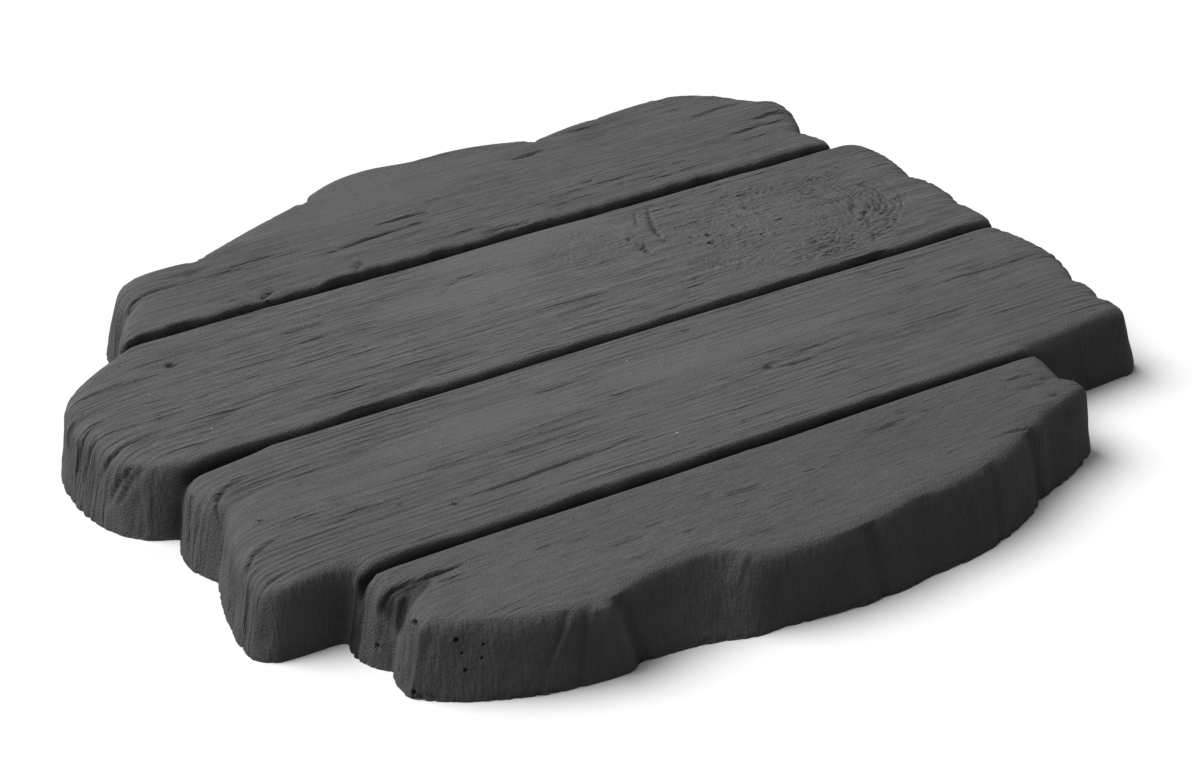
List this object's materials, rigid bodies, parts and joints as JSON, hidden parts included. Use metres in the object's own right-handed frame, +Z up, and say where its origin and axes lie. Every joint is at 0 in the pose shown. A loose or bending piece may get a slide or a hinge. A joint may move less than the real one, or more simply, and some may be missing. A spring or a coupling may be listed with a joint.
{
  "type": "garden stepping stone",
  "caption": "Cast concrete garden stepping stone shaped like old wooden planks side by side, with broken lobed ends and straight grooves, laid flat as a path slab.",
  "frame": {"origin": "middle of the slab's box on its flat underside", "axes": "+X along the planks, +Y across them towards the back plank, +Z up out of the walking face"},
  "size_m": [0.4559, 0.3822, 0.038],
  "materials": {
    "concrete": "matte cast concrete, through-coloured charcoal"
  },
  "bodies": {
    "root": {"stepping_stone": "concrete"}
  },
  "joints": []
}
